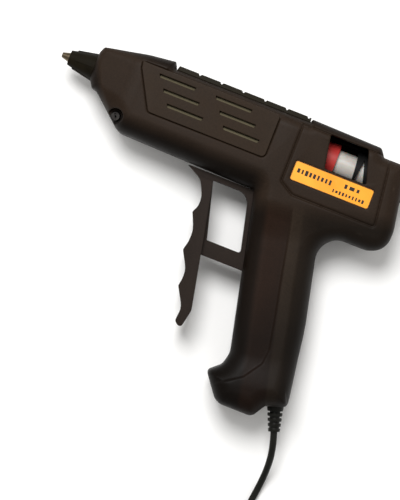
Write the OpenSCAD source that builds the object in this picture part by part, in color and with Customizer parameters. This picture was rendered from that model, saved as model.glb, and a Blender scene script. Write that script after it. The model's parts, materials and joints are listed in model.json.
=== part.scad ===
// Hot-melt glue gun with a four-finger sliding trigger.
// Drawn with X from the nozzle's tip to the back, Y up from the barrel's axis
// and Z to the gun's left, then placed lying on its right side.

/* [Housing] */
// Distance from the nozzle's tip to the back of the housing
gun_length = 215.5; // [180:0.5:260]
// Width of the housing
body_w = 40; // [33:0.5:48]
// Depth of the handle's foot below the barrel's axis
handle_drop = 154.5; // [128:0.5:186]
// Thickness of the moulded shells
wall = 2.4; // [2:0.1:2.8]
// How far the grip's sides are pulled in from the body's sides
grip_inset = 3; // [1:0.5:4]
// Depth of the handle from front to back
handle_depth = 42; // [40:0.5:48]
// Lean of the handle, in degrees
rake = 13.2; // [11:0.2:15]

/* [Glue path] */
// Diameter of the glue stick
stick_d = 15; // [12:0.5:18]
// Radial room around the glue stick
stick_room = 0.3; // [0.2:0.1:0.6]
// Radius of the melting chamber
chamber_r = 12; // [11.6:0.1:12.6]
// Bore of the nozzle's mouth
mouth_d = 2.4; // [1.5:0.1:3.5]

/* [Trigger] */
// Travel of the trigger
trigger_travel = 16; // [12:0.5:20]
// Thickness of the trigger's web
trigger_t = 9; // [7:0.5:11]
// Width of the finger pad along the trigger's front
pad_w = 17; // [14:0.5:20]
// Lower arm of the reversing lever, from its pivot to the trigger's pin
lower_arm = 24; // [24:0.5:25]
// Upper arm of the reversing lever, from its pivot to the carriage's pin
upper_arm = 15; // [14.5:0.5:15]

/* [Fasteners and pins] */
// Diameter of the housing screws
screw_d = 3; // [2.5:0.1:3.5]
// Diameter of a housing screw's head
screw_head_d = 6; // [5:0.2:6.6]
// Diameter of the reversing lever's pivot pin
pivot_d = 4; // [3:0.2:5]
// Diameter of the two drive pins
drive_d = 3; // [2.4:0.2:3.4]

/* [Mains lead] */
// Diameter of the cord
cord_d = 4; // [3.6:0.1:4.4]
// Width of the plug's body
plug_w = 35.5; // [34:0.5:37]
// Distance between the plug's pins
pin_spacing = 19; // [18:0.5:20]
// Diameter of the plug's pins
pin_d = 4.8; // [4:0.1:5]
// Length of the plug's pins
pin_length = 19; // [18:0.5:20]

/* [Hidden] */

arc_step = 15;              // degrees to one facet of an outline's round corner
wide_r = 20;                // corners over this radius have facets a third as long
round_fn = 64;
h = body_w / 2;
front = 20.5;               // front edge of the housing
back = gun_length;
butt = -handle_drop;
ridge_y = 19.3;             // top of the ridge in front of the guard
seat_y = 15.2;              // flat that the top guard sits on
deck_y = 17.2;              // top of the housing behind the guard
cap_y = 11.7;               // top of the step around the inlet
belly_y = -32.2;            // underside ahead of the handle
rear_low = -41;             // underside behind the handle
nose_w = 25;                // width of the housing at the nozzle
taper_x = front + 32;       // where the nose reaches the full width
guard_front = front + 45.2;
guard_back = back - 67.5;
grip_x = back - 82.6;       // front of the handle where it meets the body
grip_y = -36;
run = 0.05;                 // radial running clearance of the pins
slip = 0.4;                 // clearance of the sliding plates

// The reversing lever starts leaning back by half of its swing.
half_swing = trigger_travel / 2 / lower_arm * 180 / PI;
pivot = [back - 55.5, -28.5];
link_y = pivot.y + upper_arm * cos(half_swing);
drive_y = pivot.y - lower_arm * cos(half_swing);
carriage_travel = trigger_travel * upper_arm / lower_arm;
plate_z = trigger_t / 2 + slip;     // inner faces of the lever's two plates
plate_t = 3;

// The cord's boot stands square on a facet cut across the foot's back corner.
boot_angle = 18;
boot_dir = [sin(boot_angle), -cos(boot_angle)];
facet_w = 13;
facet_top = [heel_x(), butt + 12.3];
facet_end = facet_top - facet_w * [cos(boot_angle), sin(boot_angle)];
boot_seat = (facet_top + facet_end) / 2;
boot_in = 9;
boot_out = 15;
boot_exit = boot_seat + boot_out * boot_dir;

frame_shift = [-gun_length / 2, -(ridge_y + butt) / 2, h];

function grip_front(y) = grip_x + (grip_y - y) * tan(rake);
function heel_x() = grip_front(butt + 12.3) + handle_depth - 4;

function unit(v) = v / norm(v);
function flat(p) = [p.x, p.y];
// Clockwise outlines: each point is [x, y, radius].
function radius_of(p) = len(p) > 2 ? p[2] : 0;
function right_of(v) = [v.y, -v.x];
function moved(a, b, c, d) =
    let (n1 = right_of(unit(b - a)), n2 = right_of(unit(c - b)))
    b + (n1 + n2) * d / (1 + n1 * n2);
function bulges(a, b, c) = cross(b - a, c - b) < 0;
function inset(p, d) = [for (i = [0 : len(p) - 1])
    let (a = flat(p[(i + len(p) - 1) % len(p)]), b = flat(p[i]), c = flat(p[(i + 1) % len(p)]),
        q = moved(a, b, c, d), r = radius_of(p[i]))
    [q.x, q.y, bulges(a, b, c) ? max(r - d, 0) : r + d]];
function fillet(a, b, c, r) =
    let (u = unit(a - b), w = unit(c - b), half = acos(u * w) / 2,
        middle = b + unit(u + w) * r / sin(half),
        p = b + u * r / tan(half) - middle, q = b + w * r / tan(half) - middle,
        from = atan2(p.y, p.x), turn = (atan2(q.y, q.x) - from + 540) % 360 - 180,
        n = ceil(abs(turn) / (r > wide_r ? arc_step / 3 : arc_step)))
    [for (i = [0 : n]) middle + r * [cos(from + turn * i / n), sin(from + turn * i / n)]];
function outline(p, d = 0) =
    let (m = d == 0 ? p : inset(p, d))
    [for (i = [0 : len(m) - 1])
        let (a = flat(m[(i + len(m) - 1) % len(m)]), b = flat(m[i]), c = flat(m[(i + 1) % len(m)]))
        each (radius_of(m[i]) > 0 ? fillet(a, b, c, m[i][2]) : [b])];

// A tube along a list of points: rings of corners, joined by triangles.
function ring(p, i, r, sides, side_of) =
    let (t = unit(p[min(i + 1, len(p) - 1)] - p[max(i - 1, 0)]),
        s = unit(cross(t, side_of)), w = cross(s, t))
    [for (k = [0 : sides - 1]) p[i] + r * (cos(360 * k / sides) * s + sin(360 * k / sides) * w)];
function smooth(p, n) = concat([for (i = [0 : len(p) - 2], k = [0 : n - 1])
    let (a = p[max(i - 1, 0)], b = p[i], c = p[i + 1], d = p[min(i + 2, len(p) - 1)], t = k / n)
    0.5 * (2 * b + (c - a) * t + (2 * a - 5 * b + 4 * c - d) * t * t
        + (3 * b - a - 3 * c + d) * t * t * t)], [p[len(p) - 1]]);

module tube(p, r, sides = 8, side_of = [0, 0, 1]) {
    corners = [for (i = [0 : len(p) - 1]) each ring(p, i, r, sides, side_of)];
    last = (len(p) - 1) * sides;
    walls = [for (i = [0 : len(p) - 2], k = [0 : sides - 1], half = [0, 1])
        let (a = i * sides + k, b = i * sides + (k + 1) % sides)
        half == 0 ? [a, b, b + sides] : [a, b + sides, a + sides]];
    ends = [[for (k = [sides - 1 : -1 : 0]) k], [for (k = [0 : sides - 1]) last + k]];
    polyhedron(corners, concat(walls, ends));
}

module placed() translate(frame_shift) children();
module slab(z0, z1) translate([0, 0, z0]) linear_extrude(z1 - z0) children();
// A cylinder along X on the barrel's axis
module barrel(x0, x1, r) translate([x0, 0, 0]) rotate([0, 90, 0]) cylinder(h = x1 - x0, r = r, $fn = round_fn);
module taper(x0, x1, r0, r1)
    translate([x0, 0, 0]) rotate([0, 90, 0]) cylinder(h = x1 - x0, r1 = r0, r2 = r1, $fn = round_fn);
// A cylinder along Z
module post(p, z0, z1, r) translate([p.x, p.y, z0]) cylinder(h = z1 - z0, r = r, $fn = round_fn);
module block(x0, x1, y0, y1, z0, z1) translate([x0, y0, z0]) cube([x1 - x0, y1 - y0, z1 - z0]);

// ---------- housing ----------
side_points = [
    [front, -7.6, 0], [front, 8.4, 0], [front + 1.6, 12.3, 1.4], [front + 27.5, 17.4, 30],
    [front + 43.2, ridge_y, 0.6], [guard_front - 0.3, seat_y, 0], [guard_back + 0.3, seat_y, 0],
    [guard_back + 0.6, deck_y, 0.5], [back - 24, 16.4, 2.5], [back - 20.6, cap_y, 0.5],
    [back - 7, cap_y, 4], [back, -26, 10], [back - 0.3, rear_low, 11],
    [grip_front(rear_low) + handle_depth, rear_low, 13],
    [grip_front(butt + 58) + handle_depth, butt + 58, 90],
    [facet_top.x, facet_top.y, 3.5], [facet_end.x, facet_end.y, 1.5],
    [facet_end.x - 5, butt, 5], [grip_front(butt) - 4.5, butt, 9],
    [grip_front(butt + 15) - 12.3, butt + 15, 2.4],
    [grip_front(butt + 21) - 3.6, butt + 21.5, 6], [grip_front(butt + 29), butt + 29, 12],
    [grip_front(belly_y), belly_y, 1], [front + 26, belly_y + 2, 10],
    [front + 5.5, -12.4, 4], [front + 2.8, -12, 0.8]];
plan_points = [
    [front, nose_w / 2, 0], [taper_x, h, 50], [back, h, 6], [back, -h, 6], [taper_x, -h, 50],
    [front, -nose_w / 2, 0]];

module along_x(x0, x1) translate([x0, 0, 0]) rotate([90, 0, 90]) linear_extrude(x1 - x0) children();
module across(points, d) polygon(outline(points, d));
module barrel_bar(d) along_x(front - 1, back + 1) across([
    [-33, h, 13], [20, h, 9], [20, -h, 9], [-33, -h, 13]], d);
module rear_bar(d) along_x(back - 64 + d, back + 1) across([
    [rear_low, h, 9], [cap_y + 6, h, 9], [cap_y + 6, -h, 9], [rear_low, -h, 9]], d);
module plan_bar(d) translate([0, 30, 0]) rotate([90, 0, 0]) linear_extrude(90)
    polygon(outline(plan_points, d));
module grip_frame() translate([grip_x, grip_y, 0]) rotate(rake) children();
grip_share = 0.98;          // of the wall, in the grip, so that its inner faces meet no other's
// Sections across the grip and the foot, then the waisted shape seen from the front
module grip_bar(d) grip_frame() intersection() {
    union() {
        rotate([90, 0, 0]) translate([0, 0, -30]) linear_extrude(handle_drop)
            polygon(outline([[-0.5, h, 12], [handle_depth + 4, h, 12],
                [handle_depth + 4, -h, 12], [-0.5, -h, 12]], d * grip_share));
        rotate([90, 0, 0]) translate([0, 0, (handle_drop + grip_y - 33) / cos(rake)])
            linear_extrude(60) polygon(outline([[-15, h, 10], [handle_depth + 6, h, 10],
                [handle_depth + 6, -h, 10], [-15, -h, 10]], d));
    }
    translate([-30, 0, 0]) along_x(0, 100) across(foot_points(), d);
}
function foot_points() = let (foot = -(handle_drop + grip_y) / cos(rake), w = h - grip_inset) [
    [foot - 14, h, 6], [foot + 12, h, 10], [foot + 32, w, 30], [-20, w, 20], [0, h - 0.3, 20], [40, w, 0],
    [40, -w, 0], [0, 0.3 - h, 20], [-20, -w, 20], [foot + 32, -w, 30], [foot + 12, -h, 10],
    [foot - 14, -h, 6]];
module form(d) intersection() {
    slab(-h - 1, h + 1) polygon(outline(side_points, d));
    union() {
        intersection() {
            union() {
                barrel_bar(d);
                rear_bar(d);
            }
            plan_bar(d);
        }
        grip_bar(d);
    }
}

// Housing screws: [place, side the head is on]
screw_places = [
    [[front + 22, -22.5], 1], [[front + 78, -25.2], -1], [[back - 11.5, -31], -1],
    [[back - 29, -31.5], -1], [[grip_front(-88) + 30, -88], -1],
    [[grip_front(butt + 44) + 33, butt + 44], -1], [[grip_front(butt + 10) + 6, butt + 10], -1]];
screw_seat = h / 2;
left_recess_r = screw_head_d / 2 + 1.5;
right_recess_r = screw_head_d / 2 + 0.3;
boss_wall = 1.2;
screw_end = h - grip_inset - wall;  // deepest that a pilot hole goes
support_r = 13;
front_support_x = front + 15.5;
rear_support_x = back - 81;
support_t = 4;
foot_low = -17.2;           // underside of the feed carriage
clamp_centre = boot_seat - 15 * boot_dir;
clamp_half = 4.2;           // from the cord to each clamp screw
seat_x = grip_front(-70) + 38;  // face that the trigger's spring pushes on

module bosses() {
    for (s = screw_places) post(s[0], -h, h, boss_wall + (s[1] > 0 ? left_recess_r : right_recess_r));
    for (side = [-1, 1]) {
        slab(side > 0 ? plate_z + plate_t + slip : -h, side > 0 ? h : -plate_z - plate_t - slip)
            translate(pivot) circle(r = pivot_d / 2 + 3, $fn = round_fn);
        // Shelf under the carriage's foot
        block(back - 41, back - 18, foot_low - 2.3, foot_low - 0.3, side > 0 ? 5.5 : -h, side > 0 ? h : -5.5);
    }
    // Bulkheads that hold the two supports
    for (x = [front_support_x, rear_support_x]) block(x, x + support_t, -20, ridge_y, -h, h);
    translate([seat_x, -70, 0]) rotate([0, 90, 0]) cylinder(h = 12, r = 5, $fn = round_fn);
    for (k = [-1, 1]) post(clamp_post(k), -h, 0, 2.4);
}
function clamp_post(k) = clamp_centre + k * clamp_half * [cos(boot_angle), sin(boot_angle)];
module screw_holes() {
    for (s = screw_places) {
        post(s[0], -screw_end, screw_end, screw_d / 2 + run);
        if (s[1] > 0) post(s[0], screw_seat, h + 1, left_recess_r);
        else post(s[0], -h - 1, -screw_seat, right_recess_r);
    }
    for (k = [-1, 1]) post(clamp_post(k), -12, 1, 1);
}
// Slot that the trigger's web slides in
module trigger_slot() {
    slab(-plate_z, plate_z) polygon([
        [grip_x - 6, belly_y], [grip_front(belly_y) + 20, belly_y], [grip_front(-79.2) + 20, -79.2],
        [grip_front(-79.2) - 6, -79.2]]);
}
module groove(points, side) {
    z0 = side > 0 ? h - 0.7 : -h - 1;
    z1 = side > 0 ? h + 1 : -h + 0.7;
    slab(z0, z1) difference() {
        polygon(outline(points));
        polygon(outline(points, 0.9));
    }
}
rear_panel_points = [
    [back - 71.5, 12.8, 0.6], [back - 17, 12.8, 2], [back - 11.5, -28.2, 2], [back - 62.5, -28.2, 2],
    [back - 71.5, -23, 2]];
vent_points = [
    [front + 25.2, 12.8, 1], [back - 84.5, 12.8, 2], [back - 84.5, -14.3, 3],
    [front + 38.5, -14.3, 3], [front + 26, 8.2, 4]];
panel_sink = 1.5;
panel_t = 1.5;
groove_w = 0.6;
window_points = [
    [back - 54.2, 12.5, 0.8], [back - 31, 12.5, 0.8], [back - 25.2, -7, 0.8], [back - 50.6, -7, 0.8]];
slot_length = 21.5;
slot_h = 2;
slot_rows = [8, 0.8, -6.5];
slot_shift = 5;
slot_pitch = 34.4;
label_x = back - 67.3;
label_y = -20;
label_w = 48;
label_h = 11.8;
label_t = 0.5;
corner_r = 1.5;

module vent_slots() for (row = [0 : 2], column = [0 : 1]) {
    x = front + 38 + slot_shift * row + slot_pitch * column;
    y = slot_rows[row];
    polygon([[x - 0.8, y + slot_h / 2], [x + slot_length, y + slot_h / 2],
        [x + slot_length - 0.6, y - slot_h / 2], [x, y - slot_h / 2]]);
}
module label_shape(grow) polygon(outline([
    [label_x, label_y + label_h, corner_r], [label_x + label_w, label_y + label_h, corner_r],
    [label_x + label_w, label_y, corner_r], [label_x, label_y, corner_r]], -grow));

collar_r = stick_d / 2 + stick_room + 2.9;
boot_neck_r = 3.9;
module boot_frame() translate([boot_seat.x, boot_seat.y, 0]) rotate([90, 0, boot_angle]) children();

module shell() difference() {
    form(0);
    difference() {
        form(wall);
        bosses();
    }
    screw_holes();
    trigger_slot();
    post(pivot, -h + wall, h - wall, pivot_d / 2);
    barrel(front - 1, front + wall + 1, neck_r + 0.5);
    barrel(back - 26, back + 1, collar_r);
    for (x = [front_support_x, rear_support_x]) barrel(x - 0.1, x + support_t + 0.1, support_r);
    boot_frame() translate([0, 0, -wall - 1]) cylinder(h = wall + 2, r = boot_neck_r, $fn = round_fn);
}

module housing_left() color([0.2, 0.18, 0.16]) placed() difference() {
    intersection() {
        shell();
        block(-5, back + 5, butt - 5, 30, 0, h + 1);
    }
    slab(h - panel_sink, h + 1) polygon(outline(vent_points));
    slab(h - 9, h + 1) vent_slots();
    slab(h - 12, h + 1) polygon(outline(window_points));
    slab(h - label_t, h + 1) label_shape(0);
    groove(rear_panel_points, 1);
}
module housing_right() color([0.2, 0.18, 0.16]) placed() difference() {
    intersection() {
        shell();
        block(-5, back + 5, butt - 5, 30, -h - 1, 0);
    }
    slab(-h - 1, -h + panel_sink) polygon(outline(vent_points));
    slab(-h - 1, -h + 9) vent_slots();
    groove(rear_panel_points, -1);
}
module vent_panel(z0) difference() {
    slab(z0, z0 + panel_t) polygon(outline(vent_points, groove_w));
    slab(z0 - 1, z0 + panel_t + 1) vent_slots();
}
module vent_panel_left() color([0.24, 0.21, 0.19]) placed() vent_panel(h - panel_t);
module vent_panel_right() color([0.24, 0.21, 0.19]) placed() vent_panel(-h);
module label() color([0.98, 0.72, 0.1]) placed() slab(h - label_t, h) label_shape(-0.2);

notch_w = 2.2;
notch_pitch = 13.4;
guard_top = 17.8;
module top_guard() color([0.25, 0.22, 0.18]) placed() {
    count = floor((guard_back - guard_front - 1) / notch_pitch);
    slab(-13, 13) difference() {
        polygon([[guard_front, seat_y], [guard_front + 0.8, guard_top],
            [guard_back - 0.4, guard_top], [guard_back, seat_y]]);
        for (i = [1 : count]) translate([guard_front + notch_pitch * i, guard_top])
            polygon([[-notch_w / 2, 0.1], [notch_w / 2, 0.1], [0, -1.2]]);
    }
}
module inlet_collar() color([0.14, 0.13, 0.12]) placed() difference() {
    barrel(back - 17.5, back - 2.4, collar_r);
    barrel(back - 18, back, stick_d / 2 + stick_room);
}

// ---------- nozzle ----------
neck_r = 7.2;
module nozzle_cover() color([0.13, 0.12, 0.1]) placed() difference() {
    union() {
        taper(4.6, front, 4.4, 7.9);
        barrel(front - 0.1, front + wall, neck_r + 0.4);
        for (a = [0 : 90 : 270]) rotate([a, 0, 0]) slab(-0.9, 0.9)
            polygon([[8, 0], [8, 5.7], [front, 8.2], [front, 0]]);
    }
    taper(4.5, front - 1, 3, 5.6);
    barrel(front - 1.1, front + wall + 1, neck_r - 0.8);
}
module nozzle() color([0.72, 0.58, 0.4]) placed() difference() {
    union() {
        taper(0, 4.4, 1.5, 2.8);
        taper(4.4, front - 0.4, 2.8, 5.2);
        barrel(front - 0.4, front + 4, neck_r - 1);
        barrel(front + 4, front + 11, 4);
    }
    barrel(-1, 7, mouth_d / 2);
    barrel(7, front + 12, 2.6);
}
module valve_ball() color("silver") placed() translate([front + 5.2, 0, 0]) sphere(r = 2.3, $fn = 48);
module valve_spring() color("silver") placed() {
    coil = [for (a = [0 : 30 : 1800]) [7.6 + 14.8 * a / 1800, 1.9 * cos(a), 1.9 * sin(a)]];
    tube(coil, 0.3, 6, [1, 0, 0]);
}

// ---------- melting chamber and heater ----------
bore_r = stick_d / 2 + stick_room;
chamber_front = front + 5;
chamber_back = back - 66;
spigot_r = bore_r + 1.5;
heater_x = front + 44;
heater_l = 50;
heater_t = 4;
heater_low = -chamber_r - 1 - heater_t;
module melting_chamber() color([0.75, 0.75, 0.76]) placed() difference() {
    union() {
        barrel(chamber_front, front_support_x + support_t, 8);
        barrel(front_support_x + support_t, rear_support_x, chamber_r);
        barrel(rear_support_x, chamber_back, spigot_r);
        block(heater_x - 2, heater_x + heater_l + 2, heater_low - 2, -6, -9, 9);
    }
    barrel(chamber_front - 1, front + 11.5, 4);
    barrel(front + 11, front + 30, 2.6);
    barrel(front + 30, chamber_back + 1, bore_r);
    block(heater_x, heater_x + heater_l + 3, heater_low, heater_low + heater_t, -7.4, 7.4);
}
module support(x, hole_r) difference() {
    barrel(x, x + support_t, support_r);
    barrel(x - 1, x + support_t + 1, hole_r);
}
module front_support() color([0.7, 0.62, 0.45]) placed() support(front_support_x, 8);
module rear_support() color([0.7, 0.62, 0.45]) placed() support(rear_support_x, spigot_r);
module heater_element() color([0.9, 0.88, 0.82]) placed()
    block(heater_x + 1, heater_x + heater_l, heater_low, heater_low + heater_t, -7.4, 7.4);
module heater_clip() color("silver") placed() slab_clip(heater_x + 20, heater_x + 32);
module slab_clip(x0, x1) difference() {
    block(x0, x1, heater_low - 2.8, heater_low + 5, -9.8, 9.8);
    block(x0 - 1, x1 + 1, heater_low - 2, heater_low + 6, -9, 9);
}
// One lead down each side of the handle, clear of the lever and the trigger
lead_r = 0.9;
lead_route = [[heater_x + heater_l, heater_low + 2, 4], [heater_x + heater_l + 6, -18, 7],
    [back - 86, -24, 10.5], [back - 72, -27, 11], [back - 62, -38, 11.2], [back - 50, -56, 11.2],
    [back - 45, -76, 11], [grip_front(-92) + 22, -92, 7], [grip_front(-99.4) + 21, -99.4, 4]];
module heater_leads() color([0.75, 0.1, 0.1]) placed() for (side = [-1, 1])
    tube(smooth([for (p = lead_route) [p.x, p.y, side * p.z]], 4), lead_r, 6);

// ---------- glue stick and its feed ----------
sleeve_back = back - 45.5;
module inlet_sleeve() color([0.72, 0.1, 0.1]) placed() difference() {
    union() {
        barrel(rear_support_x + support_t + 0.4, chamber_back, spigot_r + 1.8);
        barrel(chamber_back - 1, sleeve_back, bore_r + 2.4);
    }
    barrel(rear_support_x, chamber_back, spigot_r);
    barrel(rear_support_x, back, bore_r + 0.1);
}
module sleeve_clamp() color("silver") placed() difference() {
    barrel(chamber_back - 8, chamber_back - 3, spigot_r + 2.6);
    barrel(chamber_back - 9, chamber_back - 2, spigot_r + 1.8);
}
stick_back = back - 19.5;
module glue_stick() color([0.93, 0.93, 0.9]) placed() barrel(back - 76, stick_back, stick_d / 2);

ring_r = bore_r + 2.6;
arm_top = -bore_r - 2.9;
jaw_pivot = [back - 28.5, -13.4];
jaw_z = 3.2;
link_x = pivot.x + upper_arm / lower_arm * trigger_travel / 2;
module feed_carriage() color([0.1, 0.1, 0.1]) placed() difference() {
    union() {
        intersection() {
            barrel(back - 37, back - 22, ring_r);
            slab(-h, h) polygon([[back - 35, 12], [back - 29.5, 12], [back - 23, -12],
                [back - 32.8, -12]]);
        }
        block(back - 34, back - 22, foot_low, -bore_r - 1, -9, 9);
        block(back - 39, back - 33, foot_low, arm_top, -9, 9);
        block(link_x - 4.5, back - 38, foot_low, arm_top, -trigger_t / 2, trigger_t / 2);
    }
    barrel(back - 40, back - 20, stick_d / 2 + 0.25);
    slab(-h, h) polygon([[back - 30.4, 6.6], [back - 26.6, -6.3], [back - 32.2, -6.3]]);
    block(jaw_pivot.x - 4.5, jaw_pivot.x + 5.5, foot_low - 1, -6, -jaw_z - 0.4, jaw_z + 0.4);
    block(link_x - drive_d / 2 - 0.35, link_x + drive_d / 2 + 0.35, foot_low - 1,
        pivot.y + upper_arm + drive_d / 2 + 0.3, -h, h);
    post(jaw_pivot, -10, 10, 1.2);
}
module clamp_jaw() color([0.6, 0.6, 0.62]) placed() difference() {
    slab(-jaw_z, jaw_z) polygon([
        [jaw_pivot.x - 2.4, jaw_pivot.y - 2.4], [jaw_pivot.x - 2.4, jaw_pivot.y + 2],
        [jaw_pivot.x + 2.4, -stick_d / 2 - 0.5], [jaw_pivot.x + 3.4, -stick_d / 2 - 0.7],
        [jaw_pivot.x + 2.6, jaw_pivot.y - 2.4]]);
    post(jaw_pivot, -10, 10, 1.2 + run);
}
module jaw_pin() color("silver") placed() post(jaw_pivot, -9, 9, 1.2);

// ---------- reversing lever ----------
module arm_plate(z0) {
    post([0, 0], z0, z0 + plate_t, 5.2);
    post([0, upper_arm], z0, z0 + plate_t, 3.6);
    post([0, -lower_arm], z0, z0 + plate_t, 3.8);
    block(-3.4, 3.4, -lower_arm, upper_arm, z0, z0 + plate_t);
}
module lever_frame() translate([pivot.x, pivot.y, 0]) rotate(-half_swing) children();
module rocker_lever() color([0.16, 0.16, 0.17]) placed() lever_frame() difference() {
    union() {
        arm_plate(plate_z);
        arm_plate(-plate_z - plate_t);
        post([0, 0], -plate_z - plate_t, plate_z + plate_t, 4.4);
    }
    post([0, 0], -h, h, pivot_d / 2 + run);
    post([0, upper_arm], -h, h, drive_d / 2);
    post([0, -lower_arm], -h, h, drive_d / 2);
}
pin_reach = plate_z + plate_t;
module rocker_pin() color("silver") placed() post(pivot, -h + wall, h - wall, pivot_d / 2);
module drive_pin() color("silver") placed() lever_frame()
    post([0, -lower_arm], -pin_reach, pin_reach, drive_d / 2);
module link_pin() color("silver") placed() lever_frame()
    post([0, upper_arm], -pin_reach, pin_reach, drive_d / 2);

// ---------- trigger ----------
tx = back - 215.5;
// Front edge of the finger pad, from its top to its tip
pad_front = [
    [91.5, -32.8, 0], [101, -37.8, 8], [105.4, -47, 12], [105.6, -53, 8], [103.6, -57.2, 1.5],
    [108, -67, 14], [107.8, -74, 6], [106.5, -79.5, 2], [112.4, -90, 12], [112.2, -96, 6],
    [111.6, -99.8, 2], [118, -111, 10], [117.2, -119.5, 2.5]];
pad_back = [[121.6, -122.5, 1.8], [124, -110.5, 7], [108.2, -36.1, 0]];
function shifted(p) = [for (q = p) [q.x + tx, q.y, radius_of(q)]];
module web(p) polygon(outline(shifted(p)));
rail_y = -35.9;
bar_top = -69.4;
bar_low = -78.6;
drive_x = pivot.x - trigger_travel / 2;
module trigger() color([0.23, 0.2, 0.18]) placed() difference() {
    union() {
        slab(-pad_w / 2, pad_w / 2) intersection() {
            web(reversed(concat(pad_front, pad_back)));
            web([[90, -37], [110.5, -37], [131, -125], [110, -125]]);
        }
        slab(-trigger_t / 2, trigger_t / 2) {
            web(reversed(concat(pad_front, pad_back)));
            frame_plate();
        }
    }
    slab(-h, h) drive_slot();
}
function reversed(p) = [for (i = [len(p) - 1 : -1 : 0]) p[i]];
module frame_plate() difference() {
    polygon([[tx + 92, belly_y - 0.4], [grip_x + 6, belly_y - 0.4], [grip_x + 8.3, -37],
        [grip_front(-46) + 8, -46], [drive_x + 5.2, -46], [drive_x + 5.2, drive_y - 6.4],
        [grip_front(drive_y - 6.4) + 8, drive_y - 6.4], [grip_front(bar_low) + 8, bar_low],
        [tx + 112, bar_low], [tx + 110, -72], [tx + 104, -38]]);
    polygon(outline([[tx + 108.2, rail_y, 0.3], [grip_x - 2.8, rail_y, 8],
        [grip_front(bar_top) - 2.4, bar_top, 1.5], [tx + 117.4, bar_top, 0.3]]));
}
module drive_slot() {
    reach = lower_arm * (1 - cos(half_swing)) / 2 + 0.2;
    middle = [drive_x, drive_y - reach + 0.2];
    for (k = [-1, 1]) translate(middle + [0, k * reach]) circle(r = drive_d / 2 + 0.35, $fn = round_fn);
    translate(middle) square([drive_d + 0.7, 2 * reach], center = true);
}
spring_y = -70;
module trigger_spring() color("silver") placed() {
    x0 = grip_front(spring_y) + 8.2;
    span = seat_x - x0 - 0.8;
    coil = [for (a = [0 : 30 : 2520]) [x0 + 0.5 + span * a / 2520, spring_y + 3.3 * cos(a), 3.3 * sin(a)]];
    tube(coil, 0.45, 6, [1, 0, 0]);
}

// ---------- fasteners ----------
module screw(seat, length, d, head_d) {
    translate([0, 0, seat - length]) cylinder(h = length, r = d / 2, $fn = 32);
    difference() {
        translate([0, 0, seat]) cylinder(h = 2.2, r = head_d / 2, $fn = 48);
        translate([-2, -0.45, seat + 1.2]) cube([4, 0.9, 2]);
        translate([-0.45, -2, seat + 1.2]) cube([0.9, 4, 2]);
    }
}
module housing_screws() color("silver") placed() for (s = screw_places)
    translate([s[0].x, s[0].y, 0]) rotate([s[1] > 0 ? 0 : 180, 0, 0])
        screw(screw_seat, 2 * screw_seat - 3, screw_d, screw_head_d);

// ---------- mains lead inside the handle ----------
block_middle = [grip_front(-107) + 21, -107];
module terminal_block() color([0.85, 0.83, 0.78]) placed() difference() {
    block(block_middle.x - 8, block_middle.x + 8, block_middle.y - 7, block_middle.y + 7.5, -7, 7);
    for (k = [-1, 1]) post(block_middle + [4 * k, 0], 3, 8, 1.8);
}
clamp_lead = clamp_centre - 7 * boot_dir;
inner_route = [[block_middle.x + 2, block_middle.y - 7, 0], [block_middle.x + 3, block_middle.y - 12, 0],
    [clamp_lead.x - 0.6, clamp_lead.y, 0], [clamp_centre.x, clamp_centre.y, 0],
    [boot_seat.x, boot_seat.y, 0]];
module cord_inner() color([0.1, 0.1, 0.1]) placed() tube(smooth(inner_route, 3), cord_d / 2, 10);
module cord_clamp() color([0.15, 0.15, 0.15]) placed() difference() {
    translate([clamp_centre.x, clamp_centre.y, 0]) rotate(boot_angle) difference() {
        translate([-clamp_half - 1.8, -3, 0]) cube([2 * clamp_half + 3.6, 6, 5]);
        rotate([90, 0, 0]) translate([0, 0, -5]) cylinder(h = 10, r = cord_d / 2 + 0.02, $fn = round_fn);
    }
    for (k = [-1, 1]) post(clamp_post(k), -1, 6, 1.05);
}
module cord_clamp_screws() color("silver") placed() for (k = [-1, 1])
    translate([clamp_post(k).x, clamp_post(k).y, 0]) screw(5, 14, 2, 3.8);

module strain_relief() color([0.07, 0.07, 0.07]) placed() boot_frame() difference() {
    union() {
        translate([0, 0, -boot_in]) cylinder(h = boot_in - wall, r = boot_neck_r + 0.5, $fn = round_fn);
        translate([0, 0, -wall - 0.01]) cylinder(h = wall + 0.02, r = boot_neck_r, $fn = round_fn);
        difference() {
            cylinder(h = boot_out, r1 = 4.9, r2 = 3.4, $fn = round_fn);
            for (s = [3, 6, 9, 12]) translate([0, 0, s]) difference() {
                cylinder(h = 1.2, r = 8, $fn = round_fn);
                translate([0, 0, -1]) cylinder(h = 4, r = 3, $fn = round_fn);
            }
        }
    }
    translate([0, 0, -20]) cylinder(h = 60, r = cord_d / 2, $fn = round_fn);
}

// ---------- free cord, in the frame of the surface that it lies on ----------
cord_r = cord_d / 2;
coil_middle = [60, -194];
coil_r = 24;                // radius at the middle of the turns
coil_half = 6;              // half the thickness of the bundle of turns
seat_point = [boot_seat.x, boot_seat.y, 0] + frame_shift;
exit_point = [boot_exit.x, boot_exit.y, 0] + frame_shift;
lead_points = concat([for (k = [0 : 3]) seat_point + (exit_point - seat_point) * k / 3],
    [[88, -95.4, 19.5], [89.4, -100.4, 17.8], [90.6, -106, 14.6], [91.3, -112, 10.4],
    [91.5, -118, 6.6], [91.2, -125, 3.5], [90.4, -133, 2.2], [89.4, -142, 2], [88.6, -152, 2],
    [88.2, -162, 2], [88, -172, 2], [88, -184, 2]]);
tail_points = [[50, -222, 10], [44, -222, 9.8], [37, -222, 9], [29, -222, 7.8], [22, -222, 7.2]];
module cord_lead() color([0.09, 0.09, 0.09]) tube(smooth(lead_points, 2), cord_r);
module cord_tail() color([0.09, 0.09, 0.09]) tube(smooth(tail_points, 2), cord_r);
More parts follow.
